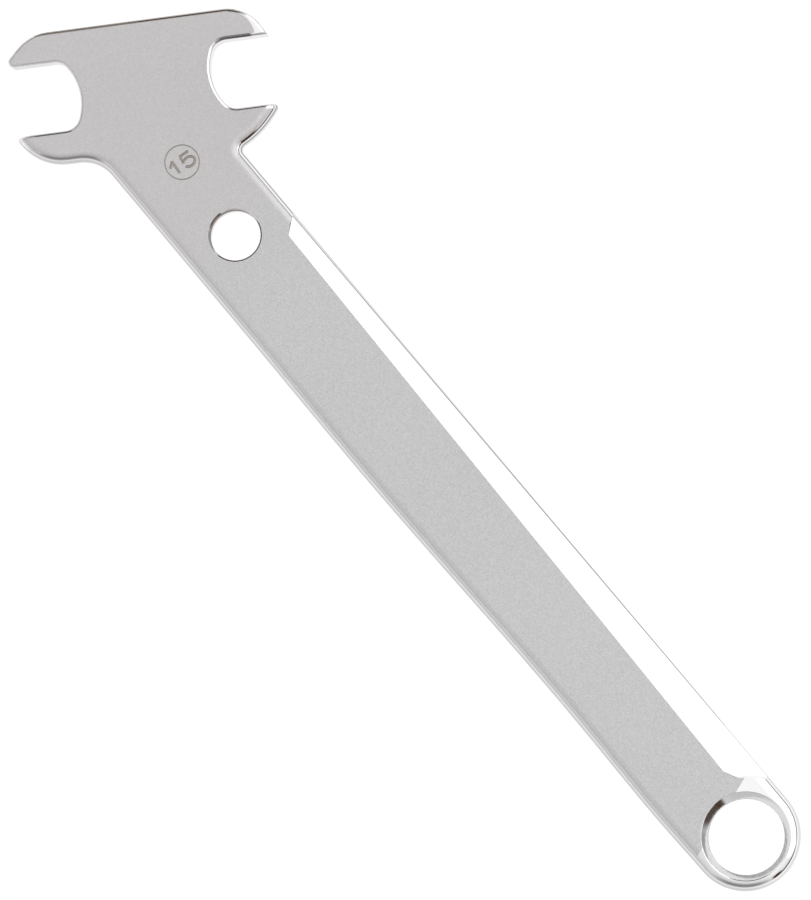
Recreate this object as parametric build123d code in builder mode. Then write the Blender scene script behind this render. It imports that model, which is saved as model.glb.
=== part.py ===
from build123d import *
import math
import os

# Pedal wrench: one flat forged piece of steel, chrome plated.
# All sizes are in millimetres. The origin is the centre of the hanging hole, in the
# middle of the plate's thickness. +X runs along the handle to the head, and +Z points
# out of the front face. Left and right are as seen from the front with the head up.

# Plate
plate_thickness = 6.0
outer_edge_radius = 2.5
jaw_edge_radius = 0.7

# Ring end with the hanging hole. The ring's outside sits a little nearer to the head
# than the hole, so the wall is thinnest at the end of the wrench.
hanging_hole_radius = 8.2
hanging_hole_rim = 1.4
hanging_hole_rim_softness = 0.3
ring_wall = 3.7
ring_shift = 0.4

# Handle. Its right edge is straight. The left one has a slight swell behind the ring, a
# waist and a belly, and runs straight again past the grip.
head_from_ring = 207.19
head_offset = 6.18
neck_before_head = 28.79
swell_from_ring = 12.0
left_edge_at_swell = 12.12
waist_from_ring = 40.0
left_edge_at_waist = 11.8
belly_from_ring = 110.0
left_edge_at_belly = 12.53
grip_end_from_ring = 150.0
left_edge_at_grip_end = 12.17
left_edge_at_neck = 12.0
right_edge_at_neck = 12.78

# Hole in the neck
neck_hole_before_head = 37.49
neck_hole_radius = 5.5
neck_hole_rim = 0.3

# Head, in its own axes: x along the two jaws, y towards the flat crown
head_turn = 33.15
crown_height = 14.25
horn_height = 14.5
crown_slope_right = 60.0
crown_radius_right = 9.0
crown_slope_left = 45.0
crown_radius_left = 10.0
horn_radius_left = 11.5
horn_radius_right = 22.0
horn_foot_before_head = 23.46
horn_foot_inset = 1.0
neck_blend_left = 8.0
neck_blend_right = 1.2

# Jaws: two equal openings, turned half round from each other, and the four tips
jaw_gap = 15.1
web_width = 28.5
throat_offset = 0.95
throat_setback_near = 2.0
throat_setback_far = 3.5
jaw_corner_radius = 3.5
jaw_depth_lower_right = 14.1
jaw_depth_lower_left = 15.0
jaw_depth_upper_right = 13.25
jaw_depth_upper_left = 16.35
blunt_tip_radius = 1.2
least_straight = 0.5

# Wide bevel along the right edge, on both faces
bevel_angle = 12.0
bevel_from_axis_at_ring = 5.35
bevel_from_axis_at_neck = 8.75
bevel_start_past_ring = 1.85
bevel_end_before_head = 45.09
bevel_start_slant = 27.0
bevel_end_slant = 40.0
ring_shoulder_margin = 0.3
shoulder_draft = 40.0

# Worked out from the sizes above
half_thickness = plate_thickness / 2
ring_radius = hanging_hole_radius + ring_wall
hanging_hole_lip = hanging_hole_radius + hanging_hole_rim
half_gap = jaw_gap / 2
half_web = web_width / 2
neck_x = head_from_ring - neck_before_head
cutter_reach = ring_radius + right_edge_at_neck
tolerance = 0.001

head_plane = Plane(
    origin=(head_from_ring, -head_offset, 0),
    x_dir=Vector(0, -1, 0).rotate(Axis.Z, -head_turn),
    z_dir=(0, 0, 1),
)


def touch_ring(point):
    """Where a line from a point on the right of the handle touches the ring's outside."""
    reach = (point[0] - ring_shift, point[1])
    turn = math.acos(ring_radius / math.hypot(*reach))
    angle = math.atan2(reach[1], reach[0]) - turn
    return (ring_shift + ring_radius * math.cos(angle), ring_radius * math.sin(angle))


def carried_on(start, through, x):
    """The point at a given x on the line from start through another point."""
    share = (x - start[0]) / (through[0] - start[0])
    return (x, start[1] + share * (through[1] - start[1]))


def corner_round(radius, turn, straight):
    """The radius of a corner, limited by the straight edge that it runs into."""
    return min(radius, (straight - least_straight) / math.tan(math.radians(turn) / 2))


def nearest(vertices, point):
    """The vertex nearest to a point."""
    return vertices.sort_by_distance(Vector(*point))[0]


# The handle with its round end: both edges leave the ring as tangents and run on into
# the head
neck_left = (neck_x, left_edge_at_neck)
neck_right = (neck_x, -right_edge_at_neck)
grip_end = (grip_end_from_ring, left_edge_at_grip_end)
ring_left = (ring_shift, ring_radius)
ring_right = touch_ring(neck_right)
handle_left = carried_on(grip_end, neck_left, head_from_ring)
handle_right = carried_on(ring_right, neck_right, head_from_ring)

with BuildSketch() as handle_face:
    with BuildLine():
        Line(ring_right, handle_right)
        Line(handle_right, handle_left)
        straight_left = Line(handle_left, grip_end)
        Spline(
            grip_end,
            (belly_from_ring, left_edge_at_belly),
            (waist_from_ring, left_edge_at_waist),
            (swell_from_ring, left_edge_at_swell),
            ring_left,
            tangents=(straight_left % 1, (-1, 0)),
        )
        ThreePointArc(ring_left, (ring_shift - ring_radius, 0), ring_right)
    make_face()

# The head before its jaws are cut: a flat crown with two sloping shoulders, and a
# rounded horn on each side of the neck
tip_lower_right = (half_web + jaw_depth_lower_right, -half_gap)
tip_lower_left = (-half_web - jaw_depth_lower_left, -half_gap)
tip_upper_right = (half_web + jaw_depth_upper_right, half_gap)
tip_upper_left = (-half_web - jaw_depth_upper_left, half_gap)
crown_rise = crown_height - half_gap
crown_right = tip_upper_right[0] - crown_rise / math.tan(math.radians(crown_slope_right))
crown_left = tip_upper_left[0] + crown_rise / math.tan(math.radians(crown_slope_left))
blunt_tip_run = blunt_tip_radius / math.tan(math.radians(crown_slope_left) / 2)
shoulder_left = crown_rise / math.sin(math.radians(crown_slope_left)) - blunt_tip_run
shoulder_right = crown_rise / math.sin(math.radians(crown_slope_right))
crown_round_left = corner_round(crown_radius_left, crown_slope_left, shoulder_left)
crown_round_right = corner_round(crown_radius_right, crown_slope_right, shoulder_right)
horn_drop = horn_height - horn_radius_left
horn_width = math.sqrt(horn_radius_left**2 - (half_gap - horn_drop) ** 2)
horn_left = (tip_lower_left[0] + horn_width, -horn_height)
neck_in_head = head_plane.to_local_coords(Vector(*neck_left))
handle_in_head = head_plane.to_local_coords(Vector(*handle_left))
neck_corner_x = carried_on(
    (neck_in_head.Y, neck_in_head.X), (handle_in_head.Y, handle_in_head.X), -horn_height
)[1]
neck_straight = neck_corner_x - horn_left[0]
neck_round_left = corner_round(neck_blend_left, 90 - head_turn, neck_straight)
horn_foot_x = head_from_ring - horn_foot_before_head
horn_foot_edge = carried_on(ring_right, neck_right, horn_foot_x)
horn_foot = head_plane.to_local_coords(Vector(horn_foot_x, horn_foot_edge[1] + horn_foot_inset))

with BuildSketch() as head_face:
    with BuildLine():
        RadiusArc(tip_lower_right, horn_foot, horn_radius_right)
        Line(horn_foot, (0, -horn_height))
        Line((0, -horn_height), horn_left)
        RadiusArc(horn_left, tip_lower_left, horn_radius_left)
        Polyline(
            tip_lower_left,
            tip_upper_left,
            (crown_left, crown_height),
            (crown_right, crown_height),
            tip_upper_right,
            tip_lower_right,
        )
    make_face()
    fillet(nearest(head_face.vertices(), (crown_left, crown_height)), crown_round_left)
    fillet(nearest(head_face.vertices(), (crown_right, crown_height)), crown_round_right)

# One jaw, open to the right: two flats and a shallow round throat with rounded corners
jaw_mouth = half_web + cutter_reach
throat_near = (half_web + throat_setback_near, half_gap)
throat_far = (half_web + throat_setback_far, -half_gap)

with BuildSketch() as jaw_face:
    with BuildLine():
        Line((jaw_mouth, half_gap), throat_near)
        ThreePointArc(throat_near, (half_web, throat_offset), throat_far)
        Line(throat_far, (jaw_mouth, -half_gap))
        Line((jaw_mouth, -half_gap), (jaw_mouth, half_gap))
    make_face()
    fillet(jaw_face.vertices().sort_by(Axis.X)[:2], jaw_corner_radius)

# The whole outline: handle and head joined, the jaws cut, then the two neck corners and
# the blunt tip rounded
left_edge = Edge.make_line(grip_end, handle_left)
right_edge = Edge.make_line(ring_right, handle_right)
handle_edges = Compound([left_edge, right_edge])


def on_handle_edges(vertices):
    """The corners where the head's outline meets the handle's two long edges."""
    past_grip = vertices.filter_by(lambda v: v.X > grip_end_from_ring + tolerance)
    return past_grip.filter_by(lambda v: handle_edges.distance_to(v) < tolerance)


with BuildSketch() as outline:
    add(handle_face.sketch)
    with Locations(head_plane):
        add(head_face.sketch)
        with PolarLocations(0, 2):
            add(jaw_face.sketch, mode=Mode.SUBTRACT)
    fillet(on_handle_edges(outline.vertices()).sort_by(Axis.Y)[0], neck_blend_right)
    fillet(on_handle_edges(outline.vertices()).sort_by(Axis.Y)[-1], neck_round_left)
    blunt_tip = head_plane.from_local_coords(Vector(*tip_upper_left))
    fillet(nearest(outline.vertices(), blunt_tip), blunt_tip_radius)

# The wide bevel is cut by a wedge laid on the bevel's own plane. Its ends slope up to
# the full thickness, and a cone keeps the ring end whole.
bevel_start = Vector(ring_radius + bevel_start_past_ring, -bevel_from_axis_at_ring, half_thickness)
bevel_end = Vector(head_from_ring - bevel_end_before_head, -bevel_from_axis_at_neck, half_thickness)
bevel_run = bevel_end - bevel_start
bevel_fall = Vector(0, 0, 1).rotate(Axis((0, 0, 0), bevel_run), bevel_angle)
bevel_plane = Plane(origin=bevel_start, x_dir=bevel_run, z_dir=bevel_fall)
ring_slant_run = cutter_reach * math.tan(math.radians(bevel_start_slant))
neck_slant_run = cutter_reach * math.tan(math.radians(bevel_end_slant))
ring_shoulder_radius = ring_radius + ring_shoulder_margin
ring_shoulder_flare = plate_thickness * math.tan(math.radians(shoulder_draft))

with BuildPart() as bevel_cutter:
    with BuildSketch(bevel_plane):
        with BuildLine():
            Polyline(
                (0, cutter_reach),
                (0, 0),
                (-cutter_reach, -ring_slant_run),
                (-cutter_reach, -cutter_reach),
                (bevel_run.length + neck_slant_run, -cutter_reach),
                (bevel_run.length, 0),
                (bevel_run.length, cutter_reach),
                close=True,
            )
        make_face()
    extrude(amount=plate_thickness, taper=-shoulder_draft)
    with Locations((ring_shift, 0, half_thickness)):
        Cone(
            bottom_radius=ring_shoulder_radius + ring_shoulder_flare,
            top_radius=ring_shoulder_radius - ring_shoulder_flare,
            height=2 * plate_thickness,
            mode=Mode.SUBTRACT,
        )


def on_faces(edges):
    """The edges that lie on one of the two flat faces of the plate."""
    return edges.filter_by(lambda e: abs(abs((e @ 0.5).Z) - half_thickness) < tolerance)


def below_jaws(edges):
    """The edges of the long outer run: horn, handle, ring, handle and horn again."""
    return edges.filter_by(lambda e: head_plane.to_local_coords(e @ 0.5).Y < -half_gap - tolerance)


def past_jaws(edges):
    """The edges of the jaws and of the crown."""
    return edges.filter_by(lambda e: head_plane.to_local_coords(e @ 0.5).Y > -half_gap - tolerance)


def hanging_hole_lips(edges):
    """The edges where the countersunk rims of the hanging hole meet the plate."""
    rims = edges.filter_by(lambda e: math.hypot((e @ 0.5).X, (e @ 0.5).Y) < hanging_hole_lip + tolerance)
    return rims.filter_by(lambda e: abs((e @ 0.5).Z) > half_thickness - hanging_hole_rim / 2)


def circles(edges, radius):
    """The round edges of one radius."""
    round_edges = edges.filter_by(GeomType.CIRCLE)
    return round_edges.filter_by(lambda e: abs(e.radius - radius) < tolerance)


# The wrench itself: the plate, its full outer edges, its crisper jaws, its bevels and
# its two holes
with BuildPart() as wrench_body:
    with BuildSketch(Plane.XY.offset(-half_thickness)):
        add(outline.sketch)
    extrude(amount=plate_thickness)
    fillet(below_jaws(on_faces(wrench_body.edges())), outer_edge_radius)
    fillet(past_jaws(on_faces(wrench_body.edges())), jaw_edge_radius)
    add(bevel_cutter.part, mode=Mode.SUBTRACT)
    add(bevel_cutter.part.mirror(Plane.XY), mode=Mode.SUBTRACT)
    for face_z in (half_thickness, -half_thickness):
        with Locations(Plane((0, 0, face_z), z_dir=(0, 0, face_z))):
            CounterSinkHole(hanging_hole_radius, hanging_hole_lip, counter_sink_angle=90)
    fillet(hanging_hole_lips(wrench_body.edges()), hanging_hole_rim_softness)
    with Locations((head_from_ring - neck_hole_before_head, 0)):
        Hole(neck_hole_radius)
    chamfer(circles(wrench_body.edges(), neck_hole_radius), neck_hole_rim)

wrench_body.part.label = "wrench_body"
os.makedirs("parts", exist_ok=True)
export_step(wrench_body.part, "parts/wrench_body.step")
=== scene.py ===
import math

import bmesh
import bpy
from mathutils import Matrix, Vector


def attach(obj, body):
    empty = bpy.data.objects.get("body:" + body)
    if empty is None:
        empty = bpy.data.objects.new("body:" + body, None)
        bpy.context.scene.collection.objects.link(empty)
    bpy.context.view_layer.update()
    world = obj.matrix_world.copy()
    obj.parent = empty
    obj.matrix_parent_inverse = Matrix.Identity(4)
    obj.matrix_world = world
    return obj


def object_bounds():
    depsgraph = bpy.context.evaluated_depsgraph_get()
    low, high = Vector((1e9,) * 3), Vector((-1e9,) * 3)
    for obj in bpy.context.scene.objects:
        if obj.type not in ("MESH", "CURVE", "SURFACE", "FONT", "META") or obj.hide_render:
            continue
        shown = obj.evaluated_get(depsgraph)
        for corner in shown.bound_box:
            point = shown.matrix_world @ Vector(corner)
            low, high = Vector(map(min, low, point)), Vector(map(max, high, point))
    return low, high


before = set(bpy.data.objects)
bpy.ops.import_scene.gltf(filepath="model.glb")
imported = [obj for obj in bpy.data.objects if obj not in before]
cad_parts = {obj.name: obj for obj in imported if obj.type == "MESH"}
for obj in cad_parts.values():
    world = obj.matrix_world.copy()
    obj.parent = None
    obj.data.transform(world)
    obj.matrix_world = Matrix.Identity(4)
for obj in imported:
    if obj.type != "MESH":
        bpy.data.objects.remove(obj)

# %% [markdown]
# This file dresses a pedal wrench: one flat piece of forged steel, chrome plated. The
# CAD model is already the whole shape, with its bevels, jaws and rounded edges, so the
# work here is the finish, a small etched size number, and the light. Plated steel has
# hardly any colour of its own. What we see is the room around it, so the light gets as
# much care as the metal. We start by measuring the model's box.

cad_low, cad_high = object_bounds()
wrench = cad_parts["wrench_body"]
front_z = cad_high.z
floor_z = cad_low.z
print("wrench box in mm:", [round(1000 * v, 2) for v in cad_high - cad_low])

# %% [markdown]
# The camera looks down on the wrench from over two metres away, a few degrees off
# square, with a long lens. That keeps the plate's outline nearly free of perspective,
# and the small tilt shows a thin strip of the side walls. The camera is turned about
# its own axis so that the handle runs from the lower right to the upper left.

# %% Camera
camera_tilt = math.radians(6.556)
camera_side = math.radians(-178.80)
picture_up = math.radians(-40.165)
camera_distance = 2.171
camera_aim = Vector((0.11072, 0.0020, 0.0))

camera_back = Vector((
    math.sin(camera_tilt) * math.cos(camera_side),
    math.sin(camera_tilt) * math.sin(camera_side),
    math.cos(camera_tilt),
))
towards_top = Vector((math.cos(picture_up), math.sin(picture_up), 0.0))
camera_up = (towards_top - camera_back * towards_top.dot(camera_back)).normalized()
camera_right = camera_up.cross(camera_back)

camera_data = bpy.data.cameras.new("camera")
camera_data.sensor_fit = "AUTO"
camera_data.sensor_width = 36.0
camera_data.lens = 404.8
camera_data.clip_start = 0.05
camera_data.clip_end = 100.0
camera = bpy.data.objects.new("camera", camera_data)
bpy.context.scene.collection.objects.link(camera)
pose = camera.matrix_world.to_3x3()
pose.col[0], pose.col[1], pose.col[2] = camera_right, camera_up, camera_back
camera.matrix_world = pose.to_4x4()
camera.location = camera_aim + camera_distance * camera_back
bpy.context.scene.camera = camera
print("camera at", [round(v, 3) for v in camera.location])

# %% [markdown]
# Every finish here is built from nodes. Typing out each node and link hides the idea
# behind it, so a small helper adds a node, fills its inputs by name or number and links
# what is already a socket. Three more cover the sums that come again and again. The
# steps below then read like a recipe.

# %% Helpers for nodes
def add_node(tree, kind, inputs=None, **settings):
    """Add one node, set its properties, and fill or link its inputs."""
    node = tree.nodes.new(kind)
    for name, value in settings.items():
        setattr(node, name, value)
    for key, value in (inputs or {}).items():
        if isinstance(value, bpy.types.NodeSocket):
            tree.links.new(value, node.inputs[key])
        else:
            node.inputs[key].default_value = value
    return node


def maths(tree, operation, *values):
    """One math node; its inputs are numbers or sockets."""
    inputs = dict(enumerate(values))
    return add_node(tree, "ShaderNodeMath", inputs, operation=operation).outputs[0]


def blend_between(tree, factor, low, high):
    """A number that runs from low to high with the factor."""
    return add_node(tree, "ShaderNodeMapRange", {0: factor, 3: low, 4: high}).outputs[0]


def smooth_step(tree, value, start, end):
    """Nought before start, one past end, and a smooth rise between them."""
    inputs = {0: value, 1: start, 2: end, 3: 0.0, 4: 1.0}
    step = add_node(tree, "ShaderNodeMapRange", inputs, interpolation_type="SMOOTHSTEP")
    return step.outputs[0]


# %% [markdown]
# The light is a white tent, as product photographers use for polished metal, and
# chrome shows nothing but its tent. Lamps would put hard spots on it. A gradient on the
# world itself has no noise, and lets us say how bright each direction is. Its roof is
# white and its sides are a softer grey.

# %% Light tent
tent_low, tent_high = 0.62, 1.0
world = bpy.data.worlds.new("light_tent")
bpy.context.scene.world = world
bpy.context.scene.view_settings.view_transform = "Standard"
world.use_nodes = True
sky = world.node_tree
sky.nodes.clear()
direction = add_node(sky, "ShaderNodeTexCoord").outputs["Generated"]
height = add_node(sky, "ShaderNodeSeparateXYZ", {0: direction}).outputs["Z"]
level = add_node(
    sky, "ShaderNodeVectorMath", {0: direction, 1: (1.0, 1.0, 0.0)}, operation="MULTIPLY"
).outputs[0]
level = add_node(sky, "ShaderNodeVectorMath", {0: level}, operation="NORMALIZE").outputs[0]
tent = blend_between(sky, height, tent_low, tent_high)
tent = add_node(sky, "ShaderNodeCombineColor", {0: tent, 1: tent, 2: tent}).outputs[0]
print("tent from", tent_low, "at the table to", tent_high, "overhead")

# %% [markdown]
# A few cards stand round the table, just as in a studio. A flat piece of chrome mirrors
# one spot of the tent, but a rounded edge mirrors a whole sweep of it, from the roof
# down to the table. So each card is drawn as a thin line on the edges that face it. A
# card here is a patch of another tone in the gradient, with soft borders.

# %% A helper that stands a card
def stand_card(behind, tone, turn, half_width, low, high, soft=8.0):
    """Stand a card in the tent. Turn is its bearing, in degrees from the right of the
    picture, half_width and soft are in degrees too, and low and high are heights, with 0
    at the table and 1 overhead."""
    bearing = math.radians(turn)
    facing = camera_right.xy * math.cos(bearing) + towards_top.xy * math.sin(bearing)
    towards = add_node(
        sky,
        "ShaderNodeVectorMath",
        {0: level, 1: (*facing.normalized(), 0.0)},
        operation="DOT_PRODUCT",
    ).outputs["Value"]
    outer, inner = (math.cos(math.radians(half_width + s)) for s in (soft, -soft))
    rise = math.sin(math.radians(soft))
    cover = smooth_step(sky, towards, outer, inner)
    for start, end in ((low - rise, low + rise), (high + rise, high - rise)):
        cover = maths(sky, "MULTIPLY", cover, smooth_step(sky, height, start, end))
    return add_node(
        sky,
        "ShaderNodeMix",
        {0: cover, 6: behind, 7: (*tone, 1.0)},
        data_type="RGBA",
        clamp_result=False,
    ).outputs[2]


# %% [markdown]
# The large white card at the right lights the wide bevel, and a low slate one under it
# darkens the steeper part of the edges on that side. A black card at the top and grey
# ones at the left and the bottom give the edges that face them their dark lines. Two
# small brown ones at the lower right are for the dark spot on the lower horn and for
# the brown shade in the ring's rim.

# %% Cards round the table
white_card, slate_card = (1.70, 1.70, 1.72), (0.26, 0.28, 0.31)
black_card, left_card, bottom_card = ((tone, tone, tone) for tone in (0.10, 0.20, 0.26))
horn_card, rim_card = (0.06, 0.03, 0.02), (0.05, 0.025, 0.015)
tent = stand_card(tent, white_card, turn=37.0, half_width=58.0, low=0.25, high=0.95)
tent = stand_card(tent, slate_card, turn=40.0, half_width=45.0, low=0.02, high=0.27)
tent = stand_card(tent, black_card, turn=98.0, half_width=24.0, low=0.20, high=0.90)
tent = stand_card(tent, left_card, turn=160.0, half_width=14.0, low=0.20, high=0.60)
tent = stand_card(tent, bottom_card, turn=264.0, half_width=26.0, low=0.14, high=0.64, soft=14.0)
tent = stand_card(tent, horn_card, turn=309.0, half_width=4.0, low=0.00, high=0.50, soft=5.0)
tent = stand_card(tent, rim_card, turn=327.0, half_width=20.0, low=-0.06, high=0.24, soft=10.0)
background = add_node(sky, "ShaderNodeBackground", {0: tent, 1: 1.0})
add_node(sky, "ShaderNodeOutputWorld", {0: background.outputs[0]})
print("cards in the tent:", sum(node.type == "MIX" for node in sky.nodes))

# %% [markdown]
# The wrench lies on a light table: a pale sheet that glows a little. The glow keeps the
# floor white right up to the steel and fills the side walls from below, where a plain
# sheet would be dark in the thin gap of shade round the plate.

# %% Light table
table_size = 8.0
table_tone, table_glow, table_rough = 0.10, 0.97, 0.9
table_mesh = bpy.data.meshes.new("light_table")
half = table_size / 2
corners = [(x * half, y * half, floor_z) for x, y in ((-1, -1), (1, -1), (1, 1), (-1, 1))]
table_mesh.from_pydata(corners, [], [(0, 1, 2, 3)])
floor = bpy.data.objects.new("light_table", table_mesh)
bpy.context.scene.collection.objects.link(floor)
table_sheet = bpy.data.materials.new("table_sheet")
table_sheet.use_nodes = True
sheet = table_sheet.node_tree.nodes["Principled BSDF"]
sheet.inputs["Base Color"].default_value = (table_tone, table_tone, table_tone, 1.0)
sheet.inputs["Roughness"].default_value = table_rough
sheet.inputs["Specular IOR Level"].default_value = 0.0
sheet.inputs["Emission Color"].default_value = (1.0, 1.0, 1.0, 1.0)
sheet.inputs["Emission Strength"].default_value = table_glow
table_mesh.materials.append(table_sheet)
print("light table", table_size, "m wide, at z =", round(1000 * floor_z, 2), "mm")

# %% [markdown]
# The finish has two states. The flat faces and the gentle start of their rounded edges
# are blasted to a fine, even satin. What a polishing wheel reaches after that is bright.
# One material holds both, because they are one coat of chrome. It needs to know two
# things about each point: where on the plate it is, and how far the surface leans over
# there. Upright is one on a level face, nought on a wall, and the cosine of the lean
# between them. The real faces are level to a hair, so the test for flat can be strict.

# %% Place and lean on the plate
level_upright = 0.9999
chrome = bpy.data.materials.new("chrome_plate")
chrome.use_nodes = True
plate = chrome.node_tree
plate.nodes.clear()
place = add_node(plate, "ShaderNodeTexCoord").outputs["Object"]
place_x, place_y, place_z = add_node(plate, "ShaderNodeSeparateXYZ", {0: place}).outputs
level_place = add_node(plate, "ShaderNodeCombineXYZ", {0: place_x, 1: place_y}).outputs[0]
normal = add_node(plate, "ShaderNodeNewGeometry").outputs["Normal"]
upright = add_node(plate, "ShaderNodeSeparateXYZ", {0: normal}).outputs["Z"]
upright = maths(plate, "ABSOLUTE", upright)
flat = maths(plate, "GREATER_THAN", upright, level_upright)
print("flat up to a lean of", round(math.degrees(math.acos(level_upright)), 2), "degrees")

# %% [markdown]
# A mask is a number from nought to one that says how much a rule holds at a point.
# Masks can be turned round and joined, and two kinds of border draw most of them: a
# straight line across the plate, and a circle round an upright axis. The last helper
# uses a mask to make a value darker or lighter in one place.

# %% Helpers for masks
def unless(mask):
    """One where the mask is nought, and nought where it is one."""
    return maths(plate, "SUBTRACT", 1.0, mask)


def all_of(*masks):
    """One only where every mask is one."""
    joined = masks[0]
    for mask in masks[1:]:
        joined = maths(plate, "MULTIPLY", joined, mask)
    return joined


def right_of(start, end):
    """One on the right of a line on the plate that runs from start to end, else nought."""
    run = (Vector(end) - Vector(start)).normalized()
    across = maths(plate, "MULTIPLY_ADD", place_x, run.y, -start[0] * run.y + start[1] * run.x)
    across = maths(plate, "MULTIPLY_ADD", place_y, -run.x, across)
    return maths(plate, "GREATER_THAN", across, 0.0)


def distance_from(centre_x, centre_y):
    """How far a point is from an upright axis at this place on the plate."""
    return add_node(
        plate,
        "ShaderNodeVectorMath",
        {0: level_place, 1: (centre_x, centre_y, 0.0)},
        operation="DISTANCE",
    ).outputs["Value"]


def scale_where(mask, value, factor):
    """The value, multiplied by the factor where the mask is one."""
    return maths(plate, "MULTIPLY", value, blend_between(plate, mask, 1.0, factor))


# %% [markdown]
# The head is turned against the handle, so its own two directions make the masks there
# short to write: head_x runs from the left jaw to the right one through the head's
# centre, and head_y runs up to the crown.

# %% Directions of the head
head_centre = Vector((0.20719, -0.00618))
head_turn = math.radians(-123.15)
half_gap = 0.00755
towards_right_jaw = Vector((math.cos(head_turn), math.sin(head_turn)))
towards_crown = Vector((-towards_right_jaw.y, towards_right_jaw.x))


def head_measure(way):
    """The distance from the head's centre, measured along one direction."""
    across = maths(plate, "MULTIPLY_ADD", place_x, way.x, -head_centre.dot(way))
    return maths(plate, "MULTIPLY_ADD", place_y, way.y, across)


head_x = head_measure(towards_right_jaw)
head_y = head_measure(towards_crown)
print("head turned", round(math.degrees(head_turn), 2), "degrees")
print("gap of the jaws", round(2000 * half_gap, 2), "mm")

# %% [markdown]
# How far the satin runs over an edge depends on how the wheel could get at it. The wheel
# follows the long outer edges easily, and goes a little deeper on the left. The edges of
# the jaws and the crown are sharper, so their satin ends almost at once. Only the left
# jaw and the tips beside it were spared, and there the satin wraps over the edge. Each
# limit is a lean in degrees, and the satin fades out just round it.

# %% Where the satin ends on the edges
right_lean, left_lean, jaw_lean, left_jaw_lean = 36.0, 28.0, 12.0, 60.0
lean_fade = 0.015
jaw_margin = 0.0010
tip_fade_start, tip_fade_end = -0.0245, -0.0275
left_side = maths(plate, "GREATER_THAN", place_y, 0.0)
past_jaws = maths(plate, "GREATER_THAN", head_y, -half_gap - jaw_margin)
above_lower_flat = maths(plate, "GREATER_THAN", head_y, -half_gap)
left_half = maths(plate, "LESS_THAN", head_x, 0.0)
left_tips = smooth_step(plate, head_x, tip_fade_start, tip_fade_end)
left_jaw = maths(plate, "MAXIMUM", all_of(above_lower_flat, left_half), left_tips)
lean_limit = math.cos(math.radians(right_lean))
for region, lean in ((left_side, left_lean), (past_jaws, jaw_lean), (left_jaw, left_jaw_lean)):
    lean_limit = blend_between(plate, region, lean_limit, math.cos(math.radians(lean)))
gentle = smooth_step(plate, maths(plate, "SUBTRACT", upright, lean_limit), -lean_fade, lean_fade)
print("satin ends at a lean of", right_lean, left_lean, jaw_lean, left_jaw_lean, "degrees")

# %% [markdown]
# Two places are polished whatever their lean: the end of the ring, and the tip of the
# upper right horn. On the wide bevel the wheel took everything but the flat face. The
# bevel and the ring have straight borders. The tip's is an arc, left by a wheel that
# came in from the side.

# %% Where the plate is polished all over
bevel_crease = ((0.01375, -0.00535), (0.16210, -0.00875))
bevel_end = ((0.16210, -0.00875), (0.16650, -0.01400))
ring_border = ((0.0036, 0.0103), (0.0092, -0.0064))
tip_arc_centre, tip_arc_radius = (0.20338, -0.02585), 0.00628
tip_start = ((0.1900, -0.0300), (0.2150, -0.0300))
on_bevel = all_of(right_of(*bevel_crease), right_of(*bevel_end))
on_ring_end = right_of(*ring_border)
beyond_arc = maths(plate, "GREATER_THAN", distance_from(*tip_arc_centre), tip_arc_radius)
on_tip = all_of(beyond_arc, right_of(*tip_start))
satin = maths(plate, "MAXIMUM", flat, all_of(gentle, unless(on_bevel)))
satin = all_of(satin, unless(on_ring_end), unless(on_tip))
print("bevel's crease in mm:", [[round(1000 * v, 2) for v in end] for end in bevel_crease])

# %% [markdown]
# Blasting leaves a fine speckle: tiny dents, each of which tips a little light away. It
# is stronger on the handle than on the head, and a slow drift runs under it. The same
# noise sets the tone, the roughness and, later, a very shallow bump, so that they agree.
# Round the left jaw the satin runs down towards the wall. It would mirror the dim foot
# of the tent there, so its steep part gets painted light: a lighter tone, to stay as pale as the
# face.

# %% Satin chrome
grain_size, drift_size = 0.00026, 0.040
head_start, head_full = 0.150, 0.185
grain_mean = 0.5
handle_speckle, head_speckle = 0.30, 0.22
satin_tones, satin_roughs = (0.570, 0.608), (0.38, 0.50)
jaw_steep_start, jaw_steep_full, jaw_painted_light = 0.95, 0.65, 1.60
on_head = smooth_step(plate, place_x, head_start, head_full)
grain, drift = (
    add_node(
        plate, "ShaderNodeTexNoise", {"Vector": place, "Scale": 1 / size, "Detail": detail}
    ).outputs[0]
    for size, detail in ((grain_size, 1.0), (drift_size, 2.0))
)
speckle_depth = blend_between(plate, on_head, handle_speckle, head_speckle)
speckle = maths(plate, "MULTIPLY", maths(plate, "SUBTRACT", grain, grain_mean), speckle_depth)
satin_tone = maths(plate, "ADD", speckle, blend_between(plate, drift, *satin_tones))
steep_in_jaw = all_of(left_jaw, smooth_step(plate, upright, jaw_steep_start, jaw_steep_full))
# Painted light: the steep satin round the left jaw gets a lighter tone than its reflection gives.
satin_tone = scale_where(steep_in_jaw, satin_tone, jaw_painted_light)
satin_rough = blend_between(plate, grain, *satin_roughs)
print("satin grain", round(1000 * grain_size, 2), "mm, drift", 1000 * drift_size, "mm")
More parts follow.
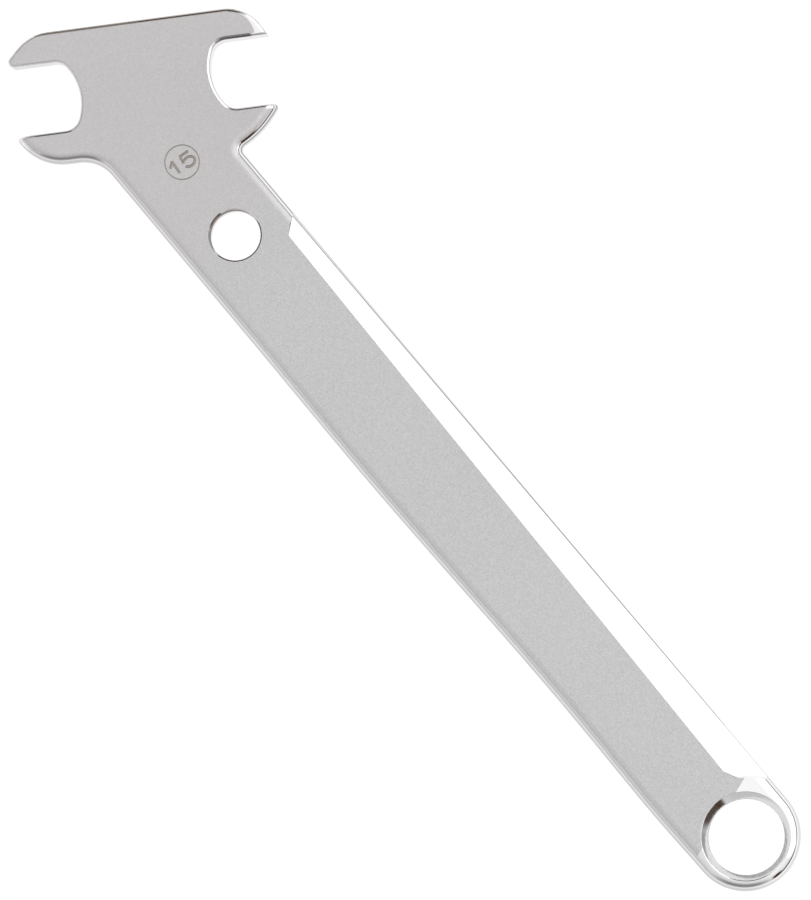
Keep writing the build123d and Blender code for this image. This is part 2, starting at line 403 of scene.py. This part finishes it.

# %% [markdown]
# Polished chrome is smooth but not perfect. Long faint marks run along the handle, where
# the wheel went. They change the tone and the roughness a little. The steep parts, close
# to the walls, and the left side get painted shade: a greyer tone for the dimmer reflections
# there.

# %% Polished chrome
marks_per_metre = (60.0, 900.0, 900.0)
bright_tones, bright_roughs = (0.92, 0.97), (0.03, 0.10)
wall_start, wall_full, wall_painted_shade = 0.70, 0.45, 0.72
left_start, left_full, left_painted_shade = 0.000, 0.008, 0.80
marks_place = add_node(plate, "ShaderNodeMapping", {0: place, 3: marks_per_metre}).outputs[0]
polish_marks = add_node(
    plate, "ShaderNodeTexNoise", {"Vector": marks_place, "Scale": 1.0, "Detail": 3.0}
).outputs[0]
near_wall = smooth_step(plate, upright, wall_start, wall_full)
to_left = smooth_step(plate, place_y, left_start, left_full)
bright_tone = blend_between(plate, polish_marks, *bright_tones)
# Painted shade: the polished tone is made darker on the steep parts near the walls and on the left
# side.
bright_tone = scale_where(near_wall, bright_tone, wall_painted_shade)
bright_tone = scale_where(to_left, bright_tone, left_painted_shade)
bright_rough = blend_between(plate, polish_marks, *bright_roughs)
print("polishing marks", marks_per_metre[1] / marks_per_metre[0], "times as long as wide")

# %% [markdown]
# A crisp dark line is painted along the right side, just inside the outline: a painted
# reflection, standing in for the dark band such a polished edge mirrors. Along the bevel
# it is a strip at the bevel's foot. Elsewhere it follows one lean of the rounded edge, so
# a band of lean draws it without any path. The ring and the left side have none.

# %% Painted reflection line along the polished edge
line_face_border, line_wall_border = (0.53, 0.49), (0.33, 0.37)
bevel_foot = ((0.020, -0.01183), (0.162, -0.01203))
bevel_line_foot = ((0.020, -0.01205), (0.162, -0.01225))
line_start, line_full = 0.019, 0.024
wall_upright = 0.15
painted_line_shade, painted_line_red = 0.50, 0.88
painted_edge_line = all_of(
    smooth_step(plate, upright, *line_face_border), smooth_step(plate, upright, *line_wall_border)
)
above_wall = maths(plate, "GREATER_THAN", upright, wall_upright)
bevel_line = all_of(right_of(*bevel_foot), unless(right_of(*bevel_line_foot)), above_wall)
past_ring = smooth_step(plate, place_x, line_start, line_full)
painted_edge_line = blend_between(plate, on_bevel, painted_edge_line, bevel_line)
painted_edge_line = all_of(painted_edge_line, unless(to_left), past_ring)
# Painted reflection: the polished tone is made darker along the line.
bright_tone = scale_where(painted_edge_line, bright_tone, painted_line_shade)
line_width = bevel_foot[0][1] - bevel_line_foot[0][1]
print("edge line", round(1000 * line_width, 2), "mm wide along the bevel")

# %% [markdown]
# The edge of the crown and the upper edge of the right jaw carry a dark line of painted
# shade: a darker tone standing in for the dark reflection on these edges, a little brown
# on the crown. The borders of each line follow the head's own directions, and the line
# covers only the rounded part of the edge.

# %% Painted shade on the edges of the head
rounded_upright = 0.25
crown_rim_start, crown_rim_full = 0.01345, 0.01370
jaw_rim_borders = (
    (head_y, 0.00860, 0.00820),
    (head_y, 0.00700, 0.00720),
    (head_x, 0.0150, 0.0175),
    (head_x, 0.0245, 0.0235),
)
crown_painted_shade, crown_painted_brown, jaw_painted_shade = 0.55, 0.90, 0.25
rounded = all_of(unless(flat), maths(plate, "GREATER_THAN", upright, rounded_upright))
crown_rim = all_of(rounded, smooth_step(plate, head_y, crown_rim_start, crown_rim_full))
jaw_rim = all_of(rounded, *(smooth_step(plate, *border) for border in jaw_rim_borders))
print("crown's dark edge from", 1000 * crown_rim_start, "mm above the head's centre")

# %% [markdown]
# Now the two states meet. The satin mask chooses between their tones and between their
# roughnesses, and the painted shade on the dark edges scales the tone. The three channels
# differ only slightly: the head is a touch warmer than the handle, the painted shade on
# the crown's edge is brown, and the painted reflection line along the polished edge is blue.

# %% The two states together
head_warmth = 0.972
tone = blend_between(plate, satin, bright_tone, satin_tone)
# Painted shade: the crown's edge and the right jaw's upper edge get a darker tone.
tone = scale_where(crown_rim, tone, crown_painted_shade)
tone = scale_where(jaw_rim, tone, jaw_painted_shade)
rough = blend_between(plate, satin, bright_rough, satin_rough)
# The painted reflection line is also made a little blue.
red = scale_where(painted_edge_line, tone, painted_line_red)
# The painted shade on the crown's edge is tinted a little brown.
green = scale_where(on_head, scale_where(crown_rim, tone, crown_painted_brown), head_warmth)
blue = scale_where(crown_rim, green, crown_painted_brown)
colour = add_node(plate, "ShaderNodeCombineColor", {0: red, 1: green, 2: blue}).outputs[0]
print("nodes in the two states:", len(plate.nodes))

# %% [markdown]
# A polishing wheel can't enter the two holes, so their walls stay as drilled and plated.
# The ring's is only dull. In the neck hole the upper half of the wall is painted dark
# brown: painted shade for the shade inside the bore. From above it shows as a narrow crescent.

# %% Walls of the two holes
ring_hole_radius, neck_hole_radius = 0.00822, 0.00552
neck_hole_x = 0.1697
ring_wall_rough, neck_wall_rough = 0.70, 0.45
neck_painted_shade_tone = (0.18, 0.13, 0.11, 1.0)
neck_shade_start, neck_shade_full = -0.0006, 0.0002
in_ring_hole = maths(plate, "LESS_THAN", distance_from(0.0, 0.0), ring_hole_radius)
in_neck_hole = maths(plate, "LESS_THAN", distance_from(neck_hole_x, 0.0), neck_hole_radius)
upper_half = smooth_step(plate, place_z, neck_shade_start, neck_shade_full)
in_neck_hole = all_of(in_neck_hole, upper_half)
rough = blend_between(plate, in_ring_hole, rough, ring_wall_rough)
rough = blend_between(plate, in_neck_hole, rough, neck_wall_rough)
# Painted shade: the upper half of the neck hole's wall is coloured dark brown.
colour = add_node(
    plate, "ShaderNodeMix", {0: in_neck_hole, 6: colour, 7: neck_painted_shade_tone}, data_type="RGBA"
).outputs[2]
print("hole walls up to", 1000 * ring_hole_radius, "and", 1000 * neck_hole_radius, "mm out")

# %% [markdown]
# Last come the bump, two hundredths of a millimetre deep and on the satin only, and the
# surface itself. It is fully metallic, because chrome covers every part of it.

# %% The finished chrome
bump_strength, bump_depth = 0.15, 0.00002
bump = add_node(
    plate,
    "ShaderNodeBump",
    {
        "Strength": maths(plate, "MULTIPLY", satin, bump_strength),
        "Distance": bump_depth,
        "Height": grain,
    },
).outputs[0]
surface = add_node(
    plate,
    "ShaderNodeBsdfPrincipled",
    {"Base Color": colour, "Metallic": 1.0, "Roughness": rough, "Normal": bump},
)
add_node(plate, "ShaderNodeOutputMaterial", {0: surface.outputs[0]})
wrench.data.materials[0] = chrome
print("chrome made of", len(plate.nodes), "nodes")

# %% [markdown]
# The size is etched into the head: a thin circle with the number 15 in it, for the
# 15 mm flats of a pedal axle. Etching leaves the steel flat but dull and a little
# brown. Here it is a film of its own on the face, a hundredth of a millimetre proud, so
# it stays sharp at any distance. The mask for etching is cut as strokes of even width,
# so each digit is drawn as paths, and a small node tree lays a thin bar along them. The
# bar's width and depth are named inputs of the tree.

# %% The tree that lays a stroke along a path
def stroke_tree(name):
    """A node tree that turns paths into thin flat bars of one width."""
    tree = bpy.data.node_groups.new(name, "GeometryNodeTree")
    kinds = {"Geometry": "Geometry", "Width": "Float", "Depth": "Float", "Material": "Material"}
    for label, kind in kinds.items():
        tree.interface.new_socket(label, in_out="INPUT", socket_type="NodeSocket" + kind)
    tree.interface.new_socket("Geometry", in_out="OUTPUT", socket_type="NodeSocketGeometry")
    paths, width, depth, material = add_node(tree, "NodeGroupInput").outputs[:4]
    section = add_node(
        tree, "GeometryNodeCurvePrimitiveQuadrilateral", {"Width": width, "Height": depth}
    ).outputs[0]
    curve = add_node(tree, "GeometryNodeMeshToCurve", {0: paths}).outputs[0]
    curve = add_node(tree, "GeometryNodeSetCurveNormal", {0: curve}, mode="Z_UP").outputs[0]
    bar = add_node(
        tree,
        "GeometryNodeCurveToMesh",
        {"Curve": curve, "Profile Curve": section, "Fill Caps": True},
    ).outputs[0]
    bar = add_node(tree, "GeometryNodeRealizeInstances", {0: bar}).outputs[0]
    bar = add_node(tree, "GeometryNodeSetMaterial", {0: bar, 2: material}).outputs[0]
    add_node(tree, "NodeGroupOutput", {0: bar})
    return tree


strokes = stroke_tree("etched_stroke")
width_input, depth_input, material_input = (
    strokes.interface.items_tree[label].identifier for label in ("Width", "Depth", "Material")
)
print("stroke tree of", len(strokes.nodes), "nodes")

# %% [markdown]
# The paths are in metres from the circle's centre, with the digits upright. The circle
# and the bowl of the 5 are arcs, and the rest is straight. The flag and the stem of the
# 1, and the bar and the back of the 5, are strokes of their own, as a stencil cutter
# makes them, because a flat bar would narrow at a sharp corner.

# %% Paths of the size number
circle_radius, circle_line, digit_line = 0.00373, 0.00026, 0.00058
circle_steps, bowl_steps = 96, 24


def arc(centre_x, centre_y, radius_x, radius_y, start, end, steps):
    """Points along an arc, from one angle in degrees to another."""
    angles = [math.radians(start + (end - start) * step / steps) for step in range(steps + 1)]
    return [(centre_x + radius_x * math.cos(a), centre_y + radius_y * math.sin(a)) for a in angles]


circle = arc(0.0, 0.0, circle_radius, circle_radius, 0.0, 360.0, circle_steps)
one_stem = [(-0.00170, 0.00155), (-0.00170, -0.00165)]
one_flag = [(-0.00285, 0.00030), (-0.00185, 0.00120)]
five_bar = [(0.00245, 0.00125), (0.00010, 0.00125)]
five_back = [(0.00028, 0.00102), (0.00020, -0.00030)]
five_bowl = arc(0.00135, -0.00078, 0.00132, 0.00100, 160.0, -160.0, bowl_steps)
print("circle", round(2000 * circle_radius, 2), "mm wide")

# %% [markdown]
# Where two strokes overlap, tops in one plane would fight over which of them is seen. So
# each stroke lies two thousandths of a millimetre above the one before. The bars reach
# down into the steel, so each is a closed body with no open edge.

# %% Strokes on the face
mark_centre = Vector((0.18918, -0.00146))
mark_turn = math.radians(-95.0)
mark_film, film_step, film_depth = 0.000010, 0.000002, 0.000040
etched_tone, etched_rough = (0.43, 0.39, 0.36, 1.0), 0.6
etched = bpy.data.materials.new("etched_steel")
etched.use_nodes = True
etching = etched.node_tree.nodes["Principled BSDF"]
etching.inputs["Base Color"].default_value = etched_tone
etching.inputs["Metallic"].default_value = 1.0
etching.inputs["Roughness"].default_value = etched_rough


def etch(paths, line, film):
    """Lay strokes along paths on the front face and add them to the film."""
    run = Vector((math.cos(mark_turn), math.sin(mark_turn)))
    rise = Vector((-run.y, run.x))
    lines = bmesh.new()
    for layer, points in enumerate(paths):
        film_z = front_z + mark_film + layer * film_step - film_depth / 2
        spots = [mark_centre + x * run + y * rise for x, y in points]
        verts = [lines.verts.new((spot.x, spot.y, film_z)) for spot in spots]
        for first, second in zip(verts, verts[1:]):
            lines.edges.new((first, second))
    path_mesh = bpy.data.meshes.new("etched_paths")
    lines.to_mesh(path_mesh)
    lines.free()
    drawn = bpy.data.objects.new("etched_paths", path_mesh)
    bpy.context.scene.collection.objects.link(drawn)
    modifier = drawn.modifiers.new("stroke", "NODES")
    modifier.node_group = strokes
    modifier[width_input] = line
    modifier[depth_input] = film_depth
    modifier[material_input] = etched
    evaluated = drawn.evaluated_get(bpy.context.evaluated_depsgraph_get())
    film.from_mesh(bpy.data.meshes.new_from_object(evaluated))
    bpy.data.objects.remove(drawn)


film = bmesh.new()
etch([circle], circle_line, film)
etch([one_stem, one_flag, five_bar, five_back, five_bowl], digit_line, film)
print("strokes laid:", len(film.faces), "faces")

# %% [markdown]
# The circle's last point lies on its first, so a weld closes it. Then the film becomes
# one plain mesh with the etched material, and is attached to the root body.

# %% Etched size mark
weld_distance = 0.0000005
bmesh.ops.remove_doubles(film, verts=film.verts, dist=weld_distance)
bmesh.ops.recalc_face_normals(film, faces=film.faces)
open_edges = sum(not edge.is_manifold for edge in film.edges)
mark_top = max(vert.co.z for vert in film.verts)
mark_mesh = bpy.data.meshes.new("size_mark")
film.to_mesh(mark_mesh)
film.free()
size_mark = bpy.data.objects.new("size_mark", mark_mesh)
bpy.context.scene.collection.objects.link(size_mark)
mark_mesh.materials.append(etched)
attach(size_mark, "root")
print("size mark:", len(mark_mesh.polygons), "faces,", open_edges, "open edges")
print("top of the mark at z =", round(1000 * mark_top, 4), "mm")
